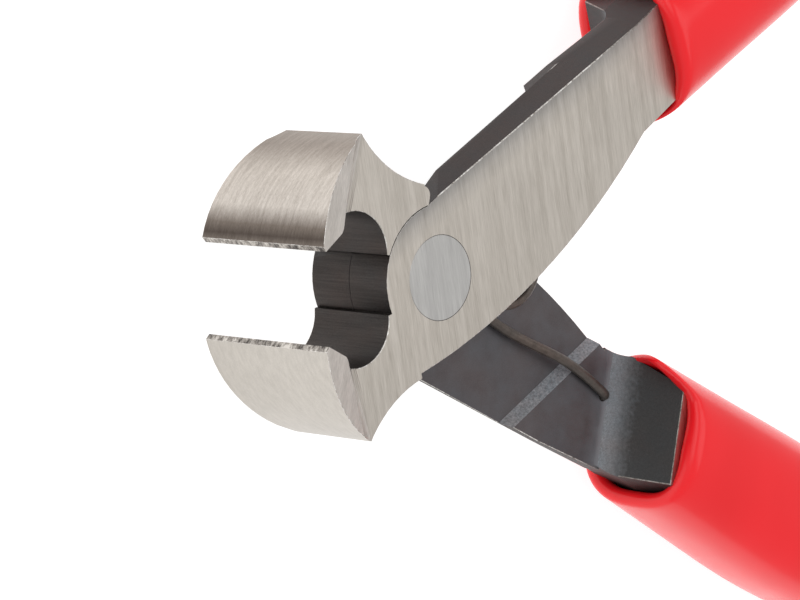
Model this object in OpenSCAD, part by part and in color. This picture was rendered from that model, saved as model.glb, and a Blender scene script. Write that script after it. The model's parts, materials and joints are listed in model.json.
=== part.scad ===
// Mini end cutting pliers with a riveted lap joint, a wire return spring and
// moulded grips. The two halves are one and the same forging: the rear half is
// the front half turned over about the tool's long axis. The tool lies flat
// and stands open, as its spring leaves it. X runs from the jaws to the grips,
// and Z is the rivet's axis.

/* [Head] */
// Full width of the cutting edges, along the rivet's axis
edge_width = 14.4; // [13.4:0.1:14.4]
// Distance from the rivet to the cutting edge
edge_reach = 15.5; // [15.3:0.1:15.7]
// Radius of the ground end face of a jaw
end_face_r = 11.1; // [10.9:0.1:11.5]
// Radius of the throat behind the cutting edges
throat_r = 3.65; // [3.2:0.05:3.8]

/* [Joint] */
// Distance between the two polished faces
body_thick = 8.8; // [8.6:0.1:9.2]
// Radius of each half's round lap, which turns in the other half's head
lap_r = 6.05; // [5.9:0.05:6.1]
// Radius of the flush rivet
rivet_r = 3.5; // [3:0.1:3.8]
// Turn of each half from closed to its open stop, in degrees
half_swing = 13.9; // [8:0.1:13.9]

/* [Spring] */
// Diameter of the spring wire
wire_d = 0.85; // [0.6:0.05:0.9]
// Mean radius of the coil
coil_r = 3.65; // [3.4:0.05:3.65]

/* [Grips] */
// Greatest thickness of a grip, along the rivet's axis
grip_thick = 14.4; // [13:0.1:14.4]
// Greatest width of a grip, in the plane of the handles
grip_width = 13.6; // [12.8:0.1:14]
// Bend radius of the rear stretch of a handle
handle_bend_r = 120; // [100:5:160]

/* [Hidden] */

$fn = 96;
steel = "silver";
far = 60;
half_thick = body_thick / 2;

// Working clearances
lap_gap = 0.03;
arc_gap = 0.07;
bore_gap = 0.05;
ring_bevel = 0.03;

// Jaw, in the closed tool's plane: the cutting edge lies on the X axis
edge_in = [-edge_reach, 0];
edge_out = edge_in + [-0.46, -0.375];
edge_ext = edge_in + 4 * [-0.46, -0.375];
end_face_c = [-4.8, -0.8];
shoulder_c = [-3.64, -18.16];
shoulder_r = 11;
throat_c = [-9.9, -0.25];
ramp_foot = [-13.1, -1.85];
ear_x = -2.5;
ear_round = 0.8;
draft_x = -4.2;

// Flare of the jaw beyond the polished faces, and its ground chamfer
flare_x = -11.15;
flare_turn = 3;
flare_r = 2;
chamfer_tilt = [5.1, 17.7, 0];
chamfer_len = 4.6;

// Shank, from the rivet to the handle
inner_c = [-8.57, 56.95];
inner_r = 63.85;
inner_draft = 0.7;
outer_face = [[0.9, 6.3], [34, 14.09]];
outer_angle = atan2(outer_face[1][1] - outer_face[0][1], outer_face[1][0] - outer_face[0][0]);
outer_draft_angle = 21;
lap_outline = [
    [-6, -10], [38, -10], [38, 15.5], [31, 13.95], [20, 11.72],
    [4, 7.75], [1.3, 6.35], [0, 6], [-4, 3], [-6, -4]
];
contact_r = 5.2;
recess_z = 2.1;
shelf_z = 1.1;
step_foot = [16.8, 9.9];
step_angle = -42;
step_slope = 53;

// Forged wall from the shelf up to full thickness
wall_x = 27.2;
wall_fillet = 2.5;
wall_facets = 16;
wall_slope = 62;
wall_drop = shelf_z + half_thick - wall_fillet * (1 - cos(wall_slope));
wall_top_x = wall_x + wall_fillet * sin(wall_slope) + wall_drop / tan(wall_slope);

// Handle's centre line: straight at first, then bent back towards the axis
line_start = [26, 7.57];
line_angle = 17;
line_straight = 23;
line_end_angle = -5;
bend_start = line_start + line_straight * [cos(line_angle), sin(line_angle)];
bend_c = bend_start + handle_bend_r * [sin(line_angle), -cos(line_angle)];
bend_len = handle_bend_r * (line_angle - line_end_angle) * PI / 180;
line_len = line_straight + bend_len;

// Steel tang inside a grip, as [across, along the rivet's axis]
tang_section = [
    [4.3, half_thick], [4.9, 0], [4.3, -half_thick],
    [-3.9, -half_thick], [-5.2, 0], [-3.9, half_thick]
];
tang_tail_w = 6.5;
tang_tail_t = 6;

// Grip
grip_cap = 5.5;
grip_square = 0.78;
grip_shift = 0.35;
mouth_x = 31.5;
mouth_slant = 0.06;
mouth_lead = 1.95;
mouth_lead_slant = 0.45;
grip_sides = 28;
grip_rings = 34;
grip_stations = [0, 0.15, 0.4, 0.7, 0.88, 1];
grip_w_share = [0.86, 0.92, 1, 0.98, 0.93, 0.9];
grip_t_share = [0.87, 0.92, 1, 1, 0.95, 0.91];

// Return spring: the coil floats between the shanks, and each leg's bent end
// turns in a small blind hole in the shelf of its own half
spring_hole = [27.4, 6.92];
coil_gap = 0.08;
coil_pitch = wire_d + coil_gap;
coil_half_turns = 3;
coil_x = 11.1;
leg_bow = 0.35;
hole_gap = 0.06;
hole_depth = 1.9;
hook_reach = 1.6;
leg_end_z = shelf_z - wire_d / 2 - 0.06;
wire_sides = 8;
wire_step = 14;
join_gap = 0.03;

function turned(p, a) = [p[0] * cos(a) - p[1] * sin(a), p[0] * sin(a) + p[1] * cos(a)];
hole_open = turned(spring_hole, half_swing);
hole_dist = norm(hole_open - [coil_x, 0]);
leg_angle = atan2(hole_open[1], hole_open[0] - coil_x) - asin(coil_r / hole_dist);
leg_len = sqrt(hole_dist * hole_dist - coil_r * coil_r);
coil_sweep = 180 * coil_half_turns + 90 - leg_angle;
coil_top_z = coil_pitch * coil_sweep / 360 + join_gap;

// Middle of the open tool's length, so that the origin is under its centre
grip_end = turned(bend_c + handle_bend_r * [-sin(line_end_angle), cos(line_end_angle)], half_swing);
cap_turn = line_end_angle + half_swing;
cap_w = grip_width / 2 * grip_w_share[5];
back_x = grip_end[0] + norm([grip_cap * cos(cap_turn), cap_w * sin(cap_turn)]);
front_x = turned(edge_out, half_swing)[0];
pivot_x = -(front_x + back_x) / 2;
pivot_z = max(edge_width, grip_thick) / 2;

// ---- outlines, in the closed tool's plane, jaw at -Y and handle at +Y ----

module throat_space() {
    translate(throat_c) circle(r = throat_r);
    polygon([edge_in, ramp_foot, throat_c, [-6, 1], [-6, 8], [-20, 8], [-20, 0]]);
}

module jaw_outline() {
    difference() {
        intersection() {
            translate(end_face_c) circle(r = end_face_r);
            polygon([edge_in, edge_ext, [-20, -14], [-4.6, -14], [-2.45, -7], [-2, -2], [-6, -0.95], [-9, -0.95]]);
        }
        translate(shoulder_c) circle(r = shoulder_r);
        throat_space();
    }
}

// The jaw beside the other half's round lap, ending in a rounded ear
module jaw_beside_lap() {
    ear_y = -7;
    difference() {
        jaw_outline();
        circle(r = lap_r + arc_gap);
        translate([ear_x, -14]) square([10, 20]);
        difference() {
            translate([ear_x - ear_round, ear_y - 1]) square([ear_round + 1, ear_round + 1]);
            translate([ear_x - ear_round, ear_y + ear_round]) circle(r = ear_round);
        }
    }
}

module lap_shape() {
    difference() {
        union() {
            circle(r = lap_r);
            intersection() {
                polygon(lap_outline);
                translate(inner_c) circle(r = inner_r + inner_draft, $fn = 360);
            }
            jaw_outline();
        }
        translate(shoulder_c) circle(r = shoulder_r);
        throat_clear();
    }
}

// The jaw above the lap plane, where the lap takes over from it
module jaw_front() {
    intersection() {
        jaw_outline();
        translate([-40, -20]) square([40 + draft_x, 40]);
    }
}

// The part of the lap that has no draft: the jaw and the disc round the rivet
module square_shape() {
    circle(r = lap_r);
    intersection() {
        lap_shape();
        translate([-40, -20]) square([40 + draft_x, 40]);
    }
}

// Throat as the round lap leaves it: the lap bulges into it
module throat_clear() {
    difference() {
        union() {
            throat_space();
            polygon([[-6, 8], [-20, 8], [-20, -1], [-12, -1], [-6, -0.5]]);
        }
        circle(r = lap_r);
    }
}

// ---- cutters for one forging ----

// Everything above the flare of the jaw on the +Z side
module flare_cut() {
    top = edge_width / 2;
    span = 40;
    translate([flare_x, 0, half_thick]) rotate([0, 0, flare_turn]) {
        translate([0, -span / 2, 0]) cube([far, span, far]);
        translate([0, 0, flare_r]) rotate([90, 0, 0]) cylinder(r = flare_r, h = span, center = true);
    }
    translate([edge_out[0], edge_out[1], top])
        rotate(chamfer_tilt) translate([-20, -30, 0]) cube([20 + chamfer_len, 60, 20]);
}

// Drafted sides: the polished face is narrower than the lap side
module draft_solid() {
    drop = half_thick - recess_z;
    intersection() {
        translate([inner_c[0], inner_c[1], recess_z])
            cylinder(r1 = inner_r + inner_draft, r2 = inner_r, h = drop, $fn = 360);
        translate([outer_face[0][0], outer_face[0][1], half_thick])
            rotate([0, 0, outer_angle]) rotate([outer_draft_angle, 0, 0])
            translate([-far, -far, -20]) cube([2 * far, far, 40]);
    }
}

// Space between the two shanks where the spring lies, cut from one of them
module recess_cut() {
    difference() {
        translate([1.2, -20, -1]) cube([far, 40, 1 + shelf_z]);
        translate([0, 0, -2]) cylinder(r = contact_r, h = 10);
    }
    difference() {
        translate([1.2, -20, 0]) cube([far, 40, recess_z]);
        translate([0, 0, -2]) cylinder(r = contact_r, h = 10);
        translate([step_foot[0], step_foot[1], recess_z]) rotate([0, 0, step_angle])
            rotate([90 - step_slope, 0, 0]) translate([-far, 0, -far]) cube([2 * far, far, 2 * far]);
    }
}

module shank_plate() {
    difference() {
        union() {
            intersection() {
                translate([0, 0, recess_z]) linear_extrude(half_thick - recess_z) lap_shape();
                draft_solid();
            }
            translate([0, 0, lap_gap]) linear_extrude(recess_z - lap_gap) lap_shape();
            translate([0, 0, recess_z]) linear_extrude(half_thick - recess_z) square_shape();
        }
        recess_cut();
        translate([wall_x + 1, -20, -1]) cube([far, 60, 20]);
    }
}

// Side view of the forged wall, with the tang behind it
module wall_profile() {
    arc = [for (a = [0 : wall_slope / wall_facets : wall_slope + 0.01])
        [wall_x + wall_fillet * sin(a), shelf_z - wall_fillet * (1 - cos(a))]];
    polygon(concat(
        [[wall_x - 0.4, half_thick], [wall_x - 0.4, shelf_z]], arc,
        [[wall_top_x, -half_thick], [100, -half_thick], [100, half_thick]]
    ));
}

module tang_bar() {
    translate([line_start[0], line_start[1], 0]) rotate([0, 0, line_angle])
        translate([-4, 0, 0]) rotate([90, 0, 90])
        linear_extrude(line_straight + 4) polygon(tang_section);
}

// Narrow end of the tang, deep inside the grip
module tang_tail() {
    chord = (line_angle + line_end_angle) / 2 + 3;
    translate([bend_start[0], bend_start[1], 0]) rotate([0, 0, chord])
        translate([-3, -tang_tail_w / 2, -tang_tail_t / 2])
        cube([bend_len * 0.72, tang_tail_w, tang_tail_t]);
}

module handle_bar() {
    intersection() {
        tang_bar();
        translate([0, 40, 0]) rotate([90, 0, 0]) linear_extrude(80) wall_profile();
    }
    tang_tail();
}

// One forging, closed position, with its lap above the Z = 0 plane
module forging(bore_r) {
    bore_h = body_thick * 3;
    difference() {
        union() {
            translate([0, 0, -edge_width / 2]) linear_extrude(edge_width / 2 + 1) jaw_beside_lap();
            translate([0, 0, lap_gap]) linear_extrude(edge_width / 2 - lap_gap) jaw_front();
            shank_plate();
            handle_bar();
        }
        flare_cut();
        mirror([0, 0, 1]) flare_cut();
        cylinder(r = bore_r, h = bore_h, center = true);
        translate([0, 0, half_thick - ring_bevel])
            cylinder(r1 = bore_r, r2 = bore_r + 2 * ring_bevel, h = 2 * ring_bevel);
        translate([spring_hole[0], spring_hole[1], shelf_z - 1])
            cylinder(r = wire_d / 2 + hole_gap, h = hole_depth + 1, $fn = 32);
    }
}

// ---- grip ----

function smooth(t) = let (c = min(1, max(0, t))) c * c * (3 - 2 * c);
function line_heading(s) = s <= line_straight ? line_angle :
    line_angle - (s - line_straight) / handle_bend_r * 180 / PI;
function line_point(s) = s <= line_straight ?
    line_start + s * [cos(line_angle), sin(line_angle)] :
    bend_c + handle_bend_r * [-sin(line_heading(s)), cos(line_heading(s))];
function mouth_at(n, z) = mouth_x - mouth_slant * z
    - (mouth_lead - mouth_lead_slant * z) * smooth((-2.8 - n) / 3);
function mouth_s(n, z) = (mouth_at(n, z) - line_start[0] + n * sin(line_angle)) / cos(line_angle);
function squared(v) = sign(v) * pow(abs(v), grip_square);
function end_shrink(s) = s <= line_len ? 1 : sqrt(max(0, 1 - pow((s - line_len) / grip_cap, 2)));
function grip_point(i, j) =
    let (
        a = -360 * j / grip_sides,
        first_n = grip_width / 2 * grip_w_share[0] * squared(cos(a)) + grip_shift,
        first_z = grip_thick / 2 * grip_t_share[0] * squared(sin(a)),
        s0 = mouth_s(first_n, first_z),
        u = i / grip_rings,
        last = line_len + grip_cap * 0.985,
        s = s0 + (last - s0) * (u < 0.75 ? u * 1.16 : 0.87 + 0.13 * sin((u - 0.75) * 360)),
        t = min(1, s / line_len),
        k = end_shrink(s),
        n = grip_width / 2 * lookup(t, [for (q = [0 : 5]) [grip_stations[q], grip_w_share[q]]])
            * squared(cos(a)) * k + grip_shift * (1 - smooth(t / 0.4)),
        z = grip_thick / 2 * lookup(t, [for (q = [0 : 5]) [grip_stations[q], grip_t_share[q]]])
            * squared(sin(a)) * k,
        c = s <= line_len ? line_point(s) :
            line_point(line_len) + (s - line_len) * [cos(line_end_angle), sin(line_end_angle)],
        h = line_heading(min(s, line_len))
    )
    [c[0] - n * sin(h), c[1] + n * cos(h), z];

module grip_blank() {
    m = grip_sides;
    rows = grip_rings + 1;
    mouth_mid = line_point(6);
    tail = line_point(line_len) + grip_cap * [cos(line_end_angle), sin(line_end_angle)];
    points = concat(
        [for (i = [0 : grip_rings]) for (j = [0 : m - 1]) grip_point(i, j)],
        [[mouth_mid[0], mouth_mid[1], 0], [tail[0], tail[1], 0]]
    );
    faces = concat(
        [for (i = [0 : grip_rings - 1]) for (j = [0 : m - 1])
            [i * m + j, i * m + (j + 1) % m, (i + 1) * m + j]],
        [for (i = [0 : grip_rings - 1]) for (j = [0 : m - 1])
            [i * m + (j + 1) % m, (i + 1) * m + (j + 1) % m, (i + 1) * m + j]],
        [for (j = [0 : m - 1]) [j, rows * m, (j + 1) % m]],
        [for (j = [0 : m - 1]) [(rows - 1) * m + j, (rows - 1) * m + (j + 1) % m, rows * m + 1]]
    );
    polyhedron(points = points, faces = faces, convexity = 6);
}

module grip() {
    difference() {
        grip_blank();
        tang_bar();
        tang_tail();
    }
}

// ---- spring ----

// Route of one half of the spring: half the coil from the middle turn up, then
// the leg, which drops from the coil to the shelf before it meets its hole
coil_steps = ceil(coil_sweep / wire_step);
coil_route = [for (i = [0 : coil_steps])
    let (a = -coil_sweep * i / coil_steps)
    [coil_x + coil_r * cos(a), coil_r * sin(a), join_gap + coil_pitch * coil_sweep / 360 * i / coil_steps]];
leg_root = [coil_x - coil_r * sin(leg_angle), coil_r * cos(leg_angle)];
leg_steps = 14;
leg_route = [for (i = [1 : leg_steps])
    let (
        t = leg_len * i / leg_steps,
        bow = leg_bow * sin(360 * i / leg_steps),
        p = leg_root + t * [cos(leg_angle), sin(leg_angle)] + bow * [-sin(leg_angle), cos(leg_angle)]
    )
    [p[0], p[1], leg_end_z + (coil_top_z - leg_end_z) * (1 - smooth((t - 3) / (leg_len - 9)))]];
function unit(v) = v / norm(v);
function wire_ring(route, i) =
    let (
        last = len(route) - 1,
        d = unit(route[min(i + 1, last)] - route[max(i - 1, 0)]),
        e = unit(cross(cross(d, [0, 0, 1]), d)),
        f = cross(e, d)
    )
    [for (k = [0 : wire_sides - 1]) let (a = 360 * k / wire_sides)
        route[i] + wire_d / 2 * (cos(a) * e + sin(a) * f)];

module wire(route) {
    m = wire_sides;
    rows = len(route);
    points = [for (i = [0 : rows - 1]) each wire_ring(route, i)];
    faces = concat(
        [[for (k = [0 : m - 1]) m - 1 - k]],
        [for (i = [0 : rows - 2]) for (k = [0 : m - 1])
            [i * m + k, i * m + (k + 1) % m, (i + 1) * m + k]],
        [for (i = [0 : rows - 2]) for (k = [0 : m - 1])
            [i * m + (k + 1) % m, (i + 1) * m + (k + 1) % m, (i + 1) * m + k]],
        [[for (k = [0 : m - 1]) (rows - 1) * m + k]]
    );
    polyhedron(points = points, faces = faces, convexity = 10);
}

module spring_half() {
    wire(concat(coil_route, leg_route));
    translate([hole_open[0], hole_open[1], leg_end_z]) {
        sphere(r = wire_d / 2 + 0.005, $fn = 32);
        cylinder(r = wire_d / 2 + 0.005, h = shelf_z + hook_reach - leg_end_z, $fn = 32);
    }
}

// ---- placing ----

module on_pivot() { translate([pivot_x, 0, pivot_z]) children(); }
module opened() { rotate([0, 0, half_swing]) children(); }
module turned_over() { rotate([180, 0, 0]) children(); }

module front_half() {
    color(steel) on_pivot() opened() forging(rivet_r);
}

module rear_half() {
    color("dimgray") on_pivot() turned_over() opened() forging(rivet_r + bore_gap);
}

module pivot_rivet() {
    color("gainsboro") on_pivot() {
        cylinder(r = rivet_r, h = body_thick - 2 * ring_bevel, center = true);
        for (side = [0, 180]) rotate([side, 0, 0])
            translate([0, 0, half_thick - ring_bevel])
            cylinder(r1 = rivet_r, r2 = rivet_r - ring_bevel, h = ring_bevel);
    }
}

module spring_upper_half() {
    color("darkgoldenrod") on_pivot() spring_half();
}

module spring_lower_half() {
    color("darkgoldenrod") on_pivot() turned_over() spring_half();
}

module upper_grip() {
    color("crimson") on_pivot() opened() grip();
}

module lower_grip() {
    color("crimson") on_pivot() turned_over() opened() grip();
}

front_half();
rear_half();
pivot_rivet();
spring_upper_half();
spring_lower_half();
upper_grip();
lower_grip();
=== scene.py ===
"""Small end cutting pliers, lying open on their side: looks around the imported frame."""

import json
import math

import bmesh
import bpy
from mathutils import Matrix, Quaternion, Vector


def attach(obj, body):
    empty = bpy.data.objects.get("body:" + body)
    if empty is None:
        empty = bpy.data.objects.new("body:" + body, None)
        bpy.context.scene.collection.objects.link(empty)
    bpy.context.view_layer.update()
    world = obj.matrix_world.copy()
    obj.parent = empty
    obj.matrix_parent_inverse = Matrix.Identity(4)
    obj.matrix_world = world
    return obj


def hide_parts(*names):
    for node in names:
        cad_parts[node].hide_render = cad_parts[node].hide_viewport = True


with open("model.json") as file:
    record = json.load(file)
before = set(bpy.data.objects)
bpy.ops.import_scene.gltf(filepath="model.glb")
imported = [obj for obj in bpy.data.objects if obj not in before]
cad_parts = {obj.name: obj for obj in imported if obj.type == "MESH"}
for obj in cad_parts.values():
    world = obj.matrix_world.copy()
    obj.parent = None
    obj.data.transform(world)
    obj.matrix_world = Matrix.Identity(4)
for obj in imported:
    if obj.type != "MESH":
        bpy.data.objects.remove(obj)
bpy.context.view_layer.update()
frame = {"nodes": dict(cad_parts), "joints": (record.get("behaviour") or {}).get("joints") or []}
MM = 0.001

# ---------------------------------------------------------------- the tool's own frames

PIVOT = Vector(next(j for j in frame["joints"] if j["name"] == "handle_pivot")["pos_m"])
HALF_SWING = math.radians(13.9)
SWUNG = Matrix.Rotation(HALF_SWING, 4, "Z")
OPENED = Matrix.Translation(PIVOT) @ SWUNG
TURNED_OVER = Matrix.Translation(PIVOT) @ Matrix.Rotation(math.pi, 4, "X") @ SWUNG
HALVES = {"upper": OPENED, "lower": TURNED_OVER}  # a half's closed frame, placed in the open tool
BODIES = {"upper": "front_lever", "lower": "rear_lever"}

# Measures of one forging in its closed frame, in mm
FACE_Z = 4.4
RECESS_Z = 2.1
END_CENTRE = Vector((-4.8, -0.8))
END_R = 11.1
THROAT_CENTRE = Vector((-9.9, -0.25))
THROAT_R = 3.65
LAP_R = 6.05
RIVET_R = 3.5
WALL_X = 27.2

# ---------------------------------------------------------------- node helpers


def new_material(name, rough=0.4, metallic=0.0, colour=(0.5, 0.5, 0.5)):
    mat = bpy.data.materials.new(name)
    mat.use_nodes = True
    shader = mat.node_tree.nodes["Principled BSDF"]
    shader.inputs["Roughness"].default_value = rough
    shader.inputs["Metallic"].default_value = metallic
    shader.inputs["Base Color"].default_value = (*colour, 1)
    return mat, shader


def coords(mat, scale, turn=(0, 0, 0)):
    """The piece's own coordinates, in millimetres, turned and then stretched."""
    nodes, links = mat.node_tree.nodes, mat.node_tree.links
    source = nodes.new("ShaderNodeTexCoord")
    turned = nodes.new("ShaderNodeMapping")
    turned.inputs["Rotation"].default_value = turn
    stretched = nodes.new("ShaderNodeMapping")
    stretched.inputs["Scale"].default_value = [1000 * v for v in scale]
    links.new(source.outputs["Object"], turned.inputs["Vector"])
    links.new(turned.outputs["Vector"], stretched.inputs["Vector"])
    return stretched.outputs["Vector"]


def half_axis(mat, direction, start, end):
    """0 to 1 across a stretch of the half's closed frame, in mm, along one direction."""
    nodes, links = mat.node_tree.nodes, mat.node_tree.links
    place = nodes.new("ShaderNodeAttribute")
    place.attribute_name = "half_mm"
    dot = nodes.new("ShaderNodeVectorMath")
    dot.operation = "DOT_PRODUCT"
    dot.inputs[1].default_value = direction
    links.new(place.outputs["Vector"], dot.inputs[0])
    reach = nodes.new("ShaderNodeMapRange")
    reach.inputs["From Min"].default_value = start
    reach.inputs["From Max"].default_value = end
    links.new(dot.outputs["Value"], reach.inputs["Value"])
    return reach.outputs["Result"]


def noise(mat, vector, scale=1.0, detail=3.0, rough=0.6):
    node = mat.node_tree.nodes.new("ShaderNodeTexNoise")
    node.inputs["Scale"].default_value = scale
    node.inputs["Detail"].default_value = detail
    node.inputs["Roughness"].default_value = rough
    mat.node_tree.links.new(vector, node.inputs["Vector"])
    return node.outputs["Fac"]


def ramp(mat, factor, *stops):
    node = mat.node_tree.nodes.new("ShaderNodeValToRGB")
    elements = node.color_ramp.elements
    while len(elements) < len(stops):
        elements.new(0.5)
    for element, (at, colour) in zip(elements, stops):
        element.position = at
        element.color = (*colour, 1) if len(colour) == 3 else colour
    mat.node_tree.links.new(factor, node.inputs["Fac"])
    return node.outputs["Color"]


def grey(v):
    return (v, v, v)


def mix(mat, factor, a, b, mode="MIX"):
    node = mat.node_tree.nodes.new("ShaderNodeMix")
    node.data_type = "RGBA"
    node.blend_type = mode
    for name, value in (("Factor", factor), ("A", a), ("B", b)):
        socket = node.inputs[name]
        if isinstance(value, (int, float)):
            socket.default_value = value
        elif isinstance(value, tuple):
            socket.default_value = (*value, 1)
        else:
            mat.node_tree.links.new(value, socket)
    return node.outputs["Result"]


def math_node(mat, op, a, b):
    node = mat.node_tree.nodes.new("ShaderNodeMath")
    node.operation = op
    for socket, value in zip(node.inputs, (a, b)):
        if isinstance(value, (int, float)):
            socket.default_value = value
        else:
            mat.node_tree.links.new(value, socket)
    return node.outputs["Value"]


def bump(mat, shader, height, depth_mm, strength=1.0):
    node = mat.node_tree.nodes.new("ShaderNodeBump")
    node.inputs["Strength"].default_value = strength
    node.inputs["Distance"].default_value = depth_mm * MM
    mat.node_tree.links.new(height, node.inputs["Height"])
    mat.node_tree.links.new(node.outputs["Normal"], shader.inputs["Normal"])


def colour_of(mat, shader, socket):
    mat.node_tree.links.new(socket, shader.inputs["Base Color"])


def rough_of(mat, shader, socket):
    mat.node_tree.links.new(socket, shader.inputs["Roughness"])


# ---------------------------------------------------------------- finishes

BRUSH_TURN = (0, 0, -math.radians(98.8))  # turns the grinding direction onto X


def brushed(name, light, dark, rough, turn, stretch, grain=1.0, depth=0.004):
    """Ground steel: fine scratches along X after the turn."""
    mat, shader = new_material(name, rough, 1.0)
    fine = noise(mat, coords(mat, stretch, turn), 3.2 * grain, 4.0, 0.65)
    broad = noise(mat, coords(mat, [v * 0.35 for v in stretch], turn), 1.3 * grain, 3.0, 0.5)
    cloud = noise(mat, coords(mat, (0.12, 0.12, 0.12)), 1.0, 2.0, 0.5)
    base = ramp(mat, fine, (0.28, dark), (0.72, light))
    base = mix(mat, 0.35, base, ramp(mat, broad, (0.3, dark), (0.7, light)))
    base = mix(mat, 0.5, base, ramp(mat, cloud, (0.3, grey(0.86)), (0.7, grey(1.0))), "MULTIPLY")
    colour_of(mat, shader, base)
    rough_of(mat, shader, ramp(mat, fine, (0.2, grey(rough - 0.07)), (0.8, grey(rough + 0.08))))
    bump(mat, shader, fine, depth, 0.6)
    return mat


OUTER_ANGLE = math.radians(13.24)  # direction of the polished face's outer edge in the closed half
OUTER_ACROSS = (-math.sin(OUTER_ANGLE), math.cos(OUTER_ANGLE), 0)
OUTER_EDGE_AT = 5.926
# width of the painted shade along the polished face's outer edge
EDGE_SHADE_WIDTH = 2.2
# far end of the painted reflection band on the rear half's end face
END_FAR_Y = -8.6
# where the painted shade on the edges' burr starts, towards the grip
GRIP_SHADE_FROM_X = 22
FOOT_WIDTH = 1.4
WALL_CLIMB = (WALL_X - 0.2, WALL_X + 3.4)
FACE_GRAIN = (0.16, 4.2, 1.0)
END_TURN = (0, 0.25, 0)


def shade_over(mat, colour, mode="MULTIPLY"):
    """Lays one more colour over what the base colour has so far."""
    shader = mat.node_tree.nodes["Principled BSDF"]
    under = shader.inputs["Base Color"].links[0].from_socket
    colour_of(mat, shader, mix(mat, 1.0, under, colour, mode))


def polished_face_with_edge_shade():
    """Ground across the tool, with painted shade making it darker along the outer edge."""
    mat = brushed("ground_face_with_edge_shade", (0.72, 0.67, 0.61), (0.43, 0.39, 0.34), 0.42,
                  BRUSH_TURN, FACE_GRAIN)
    # painted shade: the face darkens towards its outer edge, standing in for the rounded edge's
    # darker reflection
    edge_shade = half_axis(mat, OUTER_ACROSS, OUTER_EDGE_AT - EDGE_SHADE_WIDTH, OUTER_EDGE_AT)
    shade_over(mat, ramp(
        mat, edge_shade, (0.0, grey(1.0)), (0.55, (0.86, 0.87, 0.89)), (1.0, (0.60, 0.62, 0.66)),
    ))
    return mat


def rivet_face():
    return brushed("rivet_steel", (0.64, 0.63, 0.61), (0.42, 0.41, 0.40), 0.42,
                   BRUSH_TURN, FACE_GRAIN)


def end_face():
    return brushed("jaw_end_face", (0.62, 0.58, 0.53), (0.44, 0.41, 0.37), 0.42,
                   END_TURN, (1.6, 1.6, 4.6), 1.5)


def end_face_with_painted_reflection():
    """The rear half's end face, with a painted reflection: a dark band beside its cutting edge."""
    mat = brushed("jaw_end_face_painted_reflection", (0.80, 0.75, 0.70), (0.36, 0.32, 0.28), 0.36,
                  END_TURN, (0.9, 0.9, 6.0), 1.4, 0.008)
    # painted reflection: a bright stretch, then a dark band beside the cutting edge
    reflection_band = half_axis(mat, (0, 1, 0), END_FAR_Y, 0)
    shade_over(mat, ramp(
        mat, reflection_band,
        (0.0, (0.50, 0.46, 0.43)), (0.30, (0.92, 0.90, 0.88)), (0.62, (0.96, 0.95, 0.94)),
        (0.80, (0.30, 0.27, 0.25)), (0.90, (0.14, 0.12, 0.11)), (1.0, (0.36, 0.33, 0.31)),
    ))
    return mat


def flare_face():
    return brushed("jaw_flare", (0.84, 0.79, 0.74), (0.52, 0.48, 0.44), 0.42,
                   (0.5, 0, -1.2), (0.35, 2.6, 0.8))


def edge_facet():
    mat, shader = new_material("cutting_facet", 0.45, 0.9)
    patchy = noise(mat, coords(mat, (0.8, 0.8, 1.3)), 1.3, 5.0, 0.75)
    colour_of(mat, shader, ramp(
        mat, patchy,
        (0.40, (0.07, 0.06, 0.055)), (0.52, (0.34, 0.31, 0.28)), (0.64, (0.72, 0.68, 0.63)),
    ))
    rough_of(mat, shader, ramp(mat, patchy, (0.3, grey(0.38)), (0.7, grey(0.55))))
    bump(mat, shader, patchy, 0.03, 0.8)
    return mat


def worn_edge_with_grip_shade():
    """Burr along a ground edge: bright, broken up by noise, with painted shade darkening it near
    the grip.
    """
    mat, shader = new_material("worn_edge_with_grip_shade", 0.35, 1.0)
    patchy = noise(mat, coords(mat, (1, 1, 1)), 2.2, 5.0, 0.8)
    colour_of(mat, shader, ramp(
        mat, patchy,
        (0.38, (0.22, 0.19, 0.17)), (0.50, (0.60, 0.57, 0.53)), (0.60, (0.92, 0.90, 0.87)),
    ))
    rough_of(mat, shader, ramp(mat, patchy, (0.3, grey(0.30)), (0.7, grey(0.45))))
    bump(mat, shader, patchy, 0.02, 0.6)
    # painted shade: the burr gets darker towards the grip
    back = half_axis(mat, (1, 0, 0), GRIP_SHADE_FROM_X, WALL_X)
    shade_over(mat, ramp(mat, back, (0.0, grey(1.0)), (1.0, (0.42, 0.40, 0.39))))
    return mat


def oxide(name, light, dark, rough, scale, depth, stretch=(1, 1, 1), metallic=0.5):
    """Mottled skin, with a fine grain and a drift from warm to cool."""
    mat, shader = new_material(name, rough, metallic)
    where = coords(mat, stretch)
    mottled = noise(mat, where, scale, 5.0, 0.6)
    grain = noise(mat, coords(mat, (1, 1, 1)), 9.0, 3.0, 0.7)
    base = ramp(mat, mottled, (0.3, dark), (0.7, light))
    base = mix(mat, 0.4, base, ramp(mat, grain, (0.3, dark), (0.7, light)))
    warm = noise(mat, coords(mat, (0.25, 0.25, 0.25)), 1.0, 3.0, 0.6)
    drift = ramp(mat, warm, (0.35, (1.08, 0.97, 0.95)), (0.65, (0.95, 1.0, 1.05)))
    base = mix(mat, 0.8, base, drift, "MULTIPLY")
    colour_of(mat, shader, base)
    rough_of(mat, shader, ramp(mat, mottled, (0.3, grey(rough - 0.06)), (0.7, grey(rough + 0.08))))
    bump(mat, shader, grain, depth, 0.7)
    return mat


def side_skin():
    return oxide("dark_edge_skin", (0.062, 0.051, 0.048), (0.030, 0.024, 0.023), 0.52, 2.2, 0.03)


def throat_skin():
    return oxide("throat_skin", (0.075, 0.064, 0.058), (0.022, 0.018, 0.016), 0.36,
                 2.0, 0.03, (3.2, 3.2, 0.10), 0.8)


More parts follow.
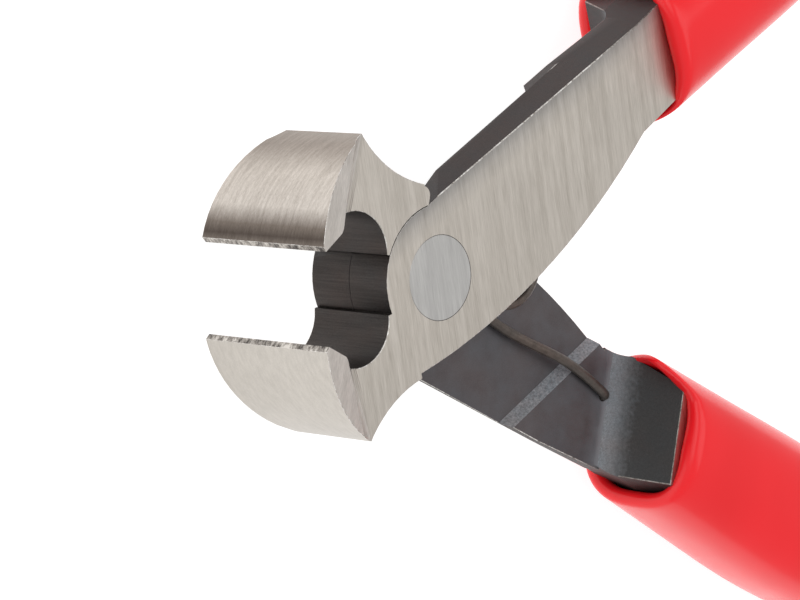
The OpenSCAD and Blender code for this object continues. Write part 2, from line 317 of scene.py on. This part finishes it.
def lap_skin():
    mat = oxide("dark_lap_skin", (0.125, 0.116, 0.119), (0.074, 0.069, 0.073), 0.44,
                0.5, 0.008, metallic=0.6)
    foot = half_axis(mat, (1, 0, 0), WALL_X - FOOT_WIDTH, WALL_X)
    shade_over(mat, ramp(mat, foot, (0.0, grey(0.0)), (1.0, (0.05, 0.058, 0.064))), "ADD")
    return mat


# Painted light: the step faces take the oxide skin coloured much lighter, as if lit, than the lap
# beside them.
def lit_step_skin():
    return oxide("blasted_step", (0.42, 0.44, 0.46), (0.09, 0.094, 0.10), 0.6,
                 4.0, 0.06, metallic=0.15)


def wall_skin():
    """Forged wall: a pale foot, painted to fade into the rough dark top."""
    mat = oxide("forged_wall", (0.30, 0.315, 0.33), (0.12, 0.125, 0.13), 0.62,
                6.0, 0.10, metallic=0.15)
    grain = noise(mat, coords(mat, (1, 1, 1)), 3.0, 4.0, 0.7)
    climb = half_axis(mat, (1, 0, 0), *WALL_CLIMB)
    centred = math_node(mat, "SUBTRACT", grain, 0.5)
    ragged = math_node(mat, "ADD", climb, math_node(mat, "MULTIPLY", centred, 0.35))
    shade_over(mat, ramp(
        mat, ragged,
        (0.0, grey(0.62)), (0.30, grey(1.0)), (0.52, grey(0.80)), (0.78, (0.19, 0.178, 0.168)),
        (1.0, (0.16, 0.148, 0.138)),
    ))
    return mat


def spring_skin():
    return oxide("spring_wire", (0.135, 0.112, 0.095), (0.055, 0.044, 0.037), 0.38,
                 1.5, 0.006, metallic=0.55)


def grip_skin():
    mat, shader = new_material("red_grip", 0.22, 0.0, (0.90, 0.008, 0.014))
    shader.inputs["IOR"].default_value = 1.45
    cloud = noise(mat, coords(mat, (0.08, 0.08, 0.08)), 1.0, 2.0, 0.5)
    colour_of(mat, shader, ramp(
        mat, cloud, (0.3, (0.86, 0.007, 0.012)), (0.7, (0.95, 0.011, 0.018)),
    ))
    grain = noise(mat, coords(mat, (0.6, 0.6, 0.6)), 1.0, 3.0, 0.6)
    rough_of(mat, shader, ramp(mat, grain, (0.3, grey(0.20)), (0.7, grey(0.26))))
    bump(mat, shader, grain, 0.01, 0.5)
    return mat


FINISHES = {
    "ground": polished_face_with_edge_shade(),
    "end": end_face(),
    "reflection_banded": end_face_with_painted_reflection(),
    "flare": flare_face(),
    "facet": edge_facet(),
    "side": side_skin(),
    "throat": throat_skin(),
    "lap": lap_skin(),
    "blasted": lit_step_skin(),
    "forged": wall_skin(),
    "worn": worn_edge_with_grip_shade(),
}
ORDER = list(FINISHES)

# ---------------------------------------------------------------- the two forgings

LEVEL = 0.97  # a face's direction counts as along the rivet's axis above this
NEAR = 0.3
AT_RADIUS = 0.25
AT_FACE = 0.06
JUST_OFF = 0.1
JAW_X = -10.5  # the jaw's sides and chamfers are in front of this
END_X, END_DEPTH = -10.9, 0.4
FACET_X = -15.3
THROAT_WALL_X = -12.5
SEAM_X = -3.6
STEP_X = 12
EAR_BACK = (-4, -7)


def region(centre, normal):
    """The finish of one face, from its place and direction in the half's closed frame, in mm."""
    x, y, z = centre
    flat = Vector((x, y))
    if abs(normal.z) > LEVEL:
        if abs(abs(z) - FACE_Z) < AT_FACE:
            return "ground"
        if abs(z) > FACE_Z:
            return "flare"
        return "lap"
    if x < JAW_X and abs(z) > FACE_Z - JUST_OFF and abs(normal.z) > 0.05:
        return "flare"
    if flat.length < RIVET_R + NEAR:
        return "side"
    if x < FACET_X and normal.y > 0.6:
        return "facet"
    if x < END_X and (flat - END_CENTRE).length > END_R - END_DEPTH and normal.x < 0.1:
        return "end"
    if (flat - THROAT_CENTRE).length < THROAT_R + NEAR or (x < THROAT_WALL_X and normal.y > 0.3):
        return "throat"
    if x < SEAM_X and abs(flat.length - LAP_R) < AT_RADIUS:
        return "throat"
    if x > WALL_X - NEAR and normal.x < -0.2 and abs(normal.y) < 0.3:
        return "forged"
    # inclined step faces between the recess and the wall: the skin painted lighter, as if lit
    if 0.3 < abs(normal.z) < LEVEL and STEP_X < x < WALL_X and z < RECESS_Z + JUST_OFF:
        return "blasted"
    if x < EAR_BACK[0] and y < EAR_BACK[1] and normal.y < -0.3:
        return "ground"
    return "side"


BEVEL_MM = 0.14
BEVEL_SHARE = {
    "facet": 0.12, "end": 0.25, "reflection_banded": 0.25, "flare": 0.3,
    "ground": 0.45, "lap": 0.4, "forged": 0.6,
}
DARK_ONLY = {"side", "throat", "blasted"}
SEAM_SHARE = 0.12
SEAM_REACH = 0.5
SHARP = math.radians(24)
SHORT_MM = 0.2
CROWDED_MM = 0.05  # no rounding beside an edge shorter than this, where it would spike
MERGE_MM = 0.002
FLAT_ENOUGH = math.radians(0.4)
INNER_END = (27.0, 8.5)  # past this the inner edge runs in under the grip at a fine angle


def edge_share(middle, names):
    """How much of the full rounding one sharp edge gets."""
    out = Vector((middle.x, middle.y)).length
    if out < RIVET_R + NEAR or set(names) <= DARK_ONLY or "blasted" in names:
        return 0
    if "throat" in names and "ground" not in names:
        return 0
    if middle.x > INNER_END[0] and middle.y < INNER_END[1]:
        return 0
    share = min(BEVEL_SHARE.get(n, 1.0) for n in names)
    return min(share, SEAM_SHARE) if abs(out - LAP_R) < SEAM_REACH else share


def forging(side, node):
    source = frame["nodes"][node]
    mesh = source.data.copy()
    mesh.name = node + "_skin"
    piece = bpy.data.objects.new(node + "_steel", mesh)
    bpy.context.collection.objects.link(piece)
    mesh.materials.clear()
    for finish in FINISHES.values():
        mesh.materials.append(finish)
    to_half = HALVES[side].inverted()
    spin = to_half.to_3x3()
    bm = bmesh.new()
    bm.from_mesh(mesh)
    bmesh.ops.remove_doubles(bm, verts=bm.verts, dist=MERGE_MM * MM)
    bmesh.ops.dissolve_limit(bm, angle_limit=FLAT_ENOUGH, verts=bm.verts, edges=bm.edges)
    layers = bm.edges.layers.float
    weights = layers.get("bevel_weight_edge") or layers.new("bevel_weight_edge")
    place = bm.verts.layers.float_vector.new("half_mm")
    for vert in bm.verts:
        vert[place] = to_half @ vert.co / MM
    for face in bm.faces:
        centre = to_half @ face.calc_center_median() / MM
        finish = region(centre, spin @ face.normal)
        # the rear half's end face takes the finish with the painted reflection band
        if finish == "end" and side == "lower":
            finish = "reflection_banded"
        face.material_index = ORDER.index(finish)
        face.smooth = True
    for edge in bm.edges:
        if len(edge.link_faces) != 2 or edge.calc_face_angle(0) < SHARP:
            continue
        edge.smooth = False
        crowd = min(e.calc_length() for v in edge.verts for e in v.link_edges)
        if edge.calc_length() > SHORT_MM * MM and crowd > CROWDED_MM * MM:
            middle = to_half @ ((edge.verts[0].co + edge.verts[1].co) / 2) / MM
            edge[weights] = edge_share(middle, [ORDER[f.material_index] for f in edge.link_faces])
            edge.smooth = edge[weights] > 0
    bm.to_mesh(mesh)
    bm.free()
    bevel = piece.modifiers.new("rounded_edges", "BEVEL")
    bevel.width = BEVEL_MM * MM
    bevel.segments = 3
    bevel.limit_method = "WEIGHT"
    bevel.use_clamp_overlap = False
    bevel.material = ORDER.index("worn")
    flat = piece.modifiers.new("flat_faces", "WEIGHTED_NORMAL")
    flat.keep_sharp = True
    flat.weight = 80
    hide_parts(node)
    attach(piece, BODIES[side])
    return piece


forging("upper", "front_half")
forging("lower", "rear_half")

rivet = frame["nodes"]["pivot_rivet"]
RIVET_STEEL = rivet_face()
rivet.data.materials.clear()
rivet.data.materials.append(RIVET_STEEL)

# ---------------------------------------------------------------- swept pieces


def mesh_piece(name, rings, material, body, node, close=(True, True)):
    """A closed skin over rings of points that all have the same count."""
    bm = bmesh.new()
    loops = [[bm.verts.new(p) for p in ring] for ring in rings]
    count = len(rings[0])
    for a, b in zip(loops, loops[1:]):
        for k in range(count):
            m = (k + 1) % count
            bm.faces.new((a[k], a[m], b[m], b[k]))
    if close[0]:
        bm.faces.new(loops[0][::-1])
    if close[1]:
        bm.faces.new(loops[-1])
    bmesh.ops.recalc_face_normals(bm, faces=bm.faces)
    for face in bm.faces:
        face.smooth = len(face.verts) == 4
    mesh = bpy.data.meshes.new(name)
    bm.to_mesh(mesh)
    bm.free()
    mesh.materials.append(material)
    piece = bpy.data.objects.new(name, mesh)
    bpy.context.collection.objects.link(piece)
    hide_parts(node)
    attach(piece, body)
    return piece


# ---------------------------------------------------------------- grips

LINE_START = Vector((26.0, 7.57))
LINE_ANGLE = math.radians(17)
LINE_END = math.radians(-5)
STRAIGHT = 23.0
BEND_R = 120.0
GRIP_W = 13.6
GRIP_T = 14.4
CAP = 5.5
SQUARE = 0.78
SHIFT = 0.35
MOUTH_X = 31.5
MOUTH_SLANT = 0.06
MOUTH_LEAD = 1.95
LEAD_SLANT = 0.45
STATIONS = (0, 0.15, 0.4, 0.7, 0.88, 1)
W_SHARE = (0.86, 0.92, 1, 0.98, 0.93, 0.9)
T_SHARE = (0.87, 0.92, 1, 1, 0.95, 0.91)
LINE_LEN = STRAIGHT + BEND_R * (LINE_ANGLE - LINE_END)
LEAD_FROM, LEAD_OVER = -2.8, 3.0  # where across the grip its mouth starts to run forward
SHIFT_OVER = 0.4
INNER_W, INNER_T, INNER_SQUARE = 4.95, 4.3, 0.55  # half sizes of the mouth round the tang
SLEEVE_DEPTH = 3.0
LIP_ROUND = 0.5
CLOSE_FROM = 0.85


def smooth(t):
    c = min(1.0, max(0.0, t))
    return c * c * (3 - 2 * c)


def along(table, t):
    """A smooth curve through a table of shares, which never passes its highest one."""
    slopes = []
    for i in range(6):
        lo, hi = max(i - 1, 0), min(i + 1, 5)
        crest = (table[hi] - table[i]) * (table[i] - table[lo]) <= 0 and 0 < i < 5
        slopes.append(0 if crest else (table[hi] - table[lo]) / (STATIONS[hi] - STATIONS[lo]))
    for i in range(5):
        a, b = STATIONS[i], STATIONS[i + 1]
        if t <= b:
            u, h = (t - a) / (b - a), b - a
            return (table[i] * (1 + 2 * u) * (1 - u) ** 2 + table[i + 1] * u * u * (3 - 2 * u)
                    + h * u * (1 - u) * (slopes[i] * (1 - u) - slopes[i + 1] * u))
    return table[-1]


def heading(s):
    return LINE_ANGLE if s <= STRAIGHT else LINE_ANGLE - (min(s, LINE_LEN) - STRAIGHT) / BEND_R


def unit_at(angle):
    return Vector((math.cos(angle), math.sin(angle)))


def line_point(s):
    if s <= STRAIGHT:
        return LINE_START + s * unit_at(LINE_ANGLE)
    start = LINE_START + STRAIGHT * unit_at(LINE_ANGLE)
    centre = start + BEND_R * Vector((math.sin(LINE_ANGLE), -math.cos(LINE_ANGLE)))
    h = heading(s)
    point = centre + BEND_R * Vector((-math.sin(h), math.cos(h)))
    return point + max(0.0, s - LINE_LEN) * unit_at(LINE_END)


def mouth_s(n, z):
    lead = (MOUTH_LEAD - LEAD_SLANT * z) * smooth((LEAD_FROM - n) / LEAD_OVER)
    x = MOUTH_X - MOUTH_SLANT * z - lead
    return (x - LINE_START.x + n * math.sin(LINE_ANGLE)) / math.cos(LINE_ANGLE)


def squared(v, power=SQUARE):
    return math.copysign(abs(v) ** power, v)


def grip_place(s, n, z):
    base = line_point(s)
    h = heading(s)
    return Vector((base.x - n * math.sin(h), base.y + n * math.cos(h), z))


def grip(side):
    sides, lengths, lip_steps = 72, 90, 12
    place = HALVES[side]
    last = LINE_LEN + CAP * 0.995
    rings = []

    def section(a, s):
        t = min(1.0, s / LINE_LEN)
        shrink = 1.0 if s <= LINE_LEN else math.sqrt(max(0.0, 1 - ((s - LINE_LEN) / CAP) ** 2))
        n = GRIP_W / 2 * along(W_SHARE, t) * squared(math.cos(a)) * shrink
        n += SHIFT * (1 - smooth(t / SHIFT_OVER))
        z = GRIP_T / 2 * along(T_SHARE, t) * squared(math.sin(a)) * shrink
        return n, z

    angles = [2 * math.pi * k / sides for k in range(sides)]
    inner = [(INNER_W * squared(math.cos(a), INNER_SQUARE),
              INNER_T * squared(math.sin(a), INNER_SQUARE)) for a in angles]
    starts = [mouth_s(*section(a, 0.0)) for a in angles]
    rings.append([(s0 + SLEEVE_DEPTH, n, z) for s0, (n, z) in zip(starts, inner)])
    for k in range(lip_steps + 1):
        turn = math.pi * k / lip_steps
        ring = []
        for a, s0, (ni, zi) in zip(angles, starts, inner):
            no, zo = section(a, s0)
            wall = math.hypot(no - ni, zo - zi)
            share = (1 - math.cos(turn)) / 2
            lead = LIP_ROUND * wall * (1 - math.sin(turn))
            no, zo = section(a, s0 + lead)
            ring.append((s0 + lead, ni + (no - ni) * share, zi + (zo - zi) * share))
        rings.append(ring)
    for i in range(1, lengths + 1):
        u = i / lengths
        if u >= CLOSE_FROM:  # crowd the rings together on the rounded end
            closing = 1 - CLOSE_FROM
            u = CLOSE_FROM + closing * math.sin((u - CLOSE_FROM) / closing * math.pi / 2)
        ring = []
        for a, s0 in zip(angles, starts):
            first = rings[lip_steps + 1][len(ring)][0]
            s = first + (last - first) * u
            n, z = section(a, s)
            ring.append((s, n, z))
        rings.append(ring)
    points = [[place @ (grip_place(*p) * MM) for p in ring] for ring in rings]
    return mesh_piece(
        side + "_grip_sleeve", points, GRIP, BODIES[side], side + "_grip", (False, True)
    )


GRIP = grip_skin()
grip("upper")
grip("lower")

# ---------------------------------------------------------------- return spring

WIRE_R = 0.425
COIL_R = 3.65
COIL_X = 11.1
PITCH = 0.93
LEG_BOW = 0.35
JOIN = 0.03
HOLE = (27.4, 6.92)
SHELF_Z = 1.1
LEG_END_Z = SHELF_Z - WIRE_R - 0.06
HOOK_REACH = 1.6
HALF_TURNS = 3
COIL_STEPS, LEG_STEPS, BEND_STEPS, WIRE_SIDES = 150, 40, 6, 16
BEND = 0.5  # radius of the bend into the hole
DROP_FROM, DROP_SHORT = 3, 9  # the leg comes down to the shelf over the rest of its length


def spring_half(side):
    place = Matrix.Translation(PIVOT)
    if side == "lower":
        place = place @ Matrix.Rotation(math.pi, 4, "X")
    hole = Matrix.Rotation(HALF_SWING, 2) @ Vector(HOLE)
    reach = hole - Vector((COIL_X, 0))
    leg_angle = math.atan2(reach.y, reach.x) - math.asin(COIL_R / reach.length)
    leg_len = math.sqrt(reach.length ** 2 - COIL_R ** 2)
    sweep = math.pi * HALF_TURNS + math.pi / 2 - leg_angle
    top = PITCH * sweep / (2 * math.pi) + JOIN
    route = []
    for i in range(COIL_STEPS):
        a = -sweep * i / COIL_STEPS
        z = JOIN + (top - JOIN) * i / COIL_STEPS
        route.append(Vector((COIL_X + COIL_R * math.cos(a), COIL_R * math.sin(a), z)))
    root = Vector((COIL_X - COIL_R * math.sin(leg_angle), COIL_R * math.cos(leg_angle)))
    ahead = unit_at(leg_angle)
    aside = Vector((-ahead.y, ahead.x))

    def leg_point(t):
        return root + t * ahead + LEG_BOW * math.sin(2 * math.pi * t / leg_len) * aside

    for i in range(LEG_STEPS + 1):
        t = (leg_len - BEND) * i / LEG_STEPS
        p = leg_point(t)
        drop = smooth((t - DROP_FROM) / (leg_len - DROP_SHORT))
        route.append(Vector((p.x, p.y, LEG_END_Z + (top - LEG_END_Z) * (1 - drop))))
    for i in range(1, BEND_STEPS + 1):
        a = math.pi / 2 * i / BEND_STEPS
        p = leg_point(leg_len - BEND + BEND * math.sin(a))
        route.append(Vector((p.x, p.y, LEG_END_Z + BEND * (1 - math.cos(a)))))
    route.append(Vector((hole.x, hole.y, SHELF_Z + HOOK_REACH)))
    rings = []
    across = Vector((0, 0, 1))
    for i, p in enumerate(route):
        d = (route[min(i + 1, len(route) - 1)] - route[max(i - 1, 0)]).normalized()
        across = (across - across.dot(d) * d).normalized()
        other = d.cross(across)
        rings.append([place @ ((p + WIRE_R * (math.cos(b) * across + math.sin(b) * other)) * MM)
                      for b in (2 * math.pi * k / WIRE_SIDES for k in range(WIRE_SIDES))])
    name = "spring_" + side
    return mesh_piece(name, rings, WIRE, name, name + "_half")


WIRE = spring_skin()
spring_half("upper")
spring_half("lower")

# ---------------------------------------------------------------- floor, light and camera

bpy.ops.mesh.primitive_plane_add(size=6, location=(0, 0, -0.0001))
floor = bpy.context.object
floor.name = "floor"
floor_mat, floor_shader = new_material("floor_white", 0.9, 0.0, (0.45, 0.45, 0.45))
floor_shader.inputs["Emission Color"].default_value = (1, 1, 1, 1)
floor_shader.inputs["Emission Strength"].default_value = 0.85
floor_shader.inputs["Specular IOR Level"].default_value = 0.1
floor.data.materials.append(floor_mat)

world = bpy.data.worlds.new("studio")
bpy.context.scene.world = world
world.use_nodes = True
world.node_tree.nodes["Background"].inputs["Color"].default_value = (1, 1, 1, 1)
world.node_tree.nodes["Background"].inputs["Strength"].default_value = 0.70


def area_light(name, offset, size, power, colour=(1, 1, 1)):
    light = bpy.data.lights.new(name, "AREA")
    light.shape = "RECTANGLE"
    light.size, light.size_y = size
    light.energy = power
    light.color = colour
    lamp = bpy.data.objects.new(name, light)
    bpy.context.collection.objects.link(lamp)
    lamp.location = PIVOT + Vector(offset)
    lamp.rotation_mode = "QUATERNION"
    lamp.rotation_quaternion = (-Vector(offset)).to_track_quat("-Z", "Y")


area_light("overhead_softbox", (0.1, 0.15, 0.9), (0.9, 0.7), 2.0)
area_light("left_softbox", (-0.7, 0.35, 0.45), (0.5, 0.5), 0.8)

AIM = PIVOT + Vector((-0.40, -2.07, 0)) * MM
AZIMUTH = math.radians(-99.98)
ELEVATION = math.radians(45.56)
ROLL = math.radians(95.4)
DISTANCE = 295.07 * MM
LENS_MM = 162
back = Vector((
    math.sin(AZIMUTH) * math.cos(ELEVATION),
    -math.cos(AZIMUTH) * math.cos(ELEVATION),
    math.sin(ELEVATION),
))
camera = bpy.data.objects.new("camera", bpy.data.cameras.new("camera"))
bpy.context.collection.objects.link(camera)
camera.data.lens = LENS_MM
camera.data.sensor_width = 36
camera.data.clip_start = 0.01
camera.data.clip_end = 20
camera.location = AIM + back * DISTANCE
camera.rotation_mode = "QUATERNION"
camera.rotation_quaternion = (-back).to_track_quat("-Z", "Y") @ Quaternion((0, 0, 1), ROLL)
bpy.context.scene.camera = camera
bpy.context.scene.view_settings.view_transform = "Standard"
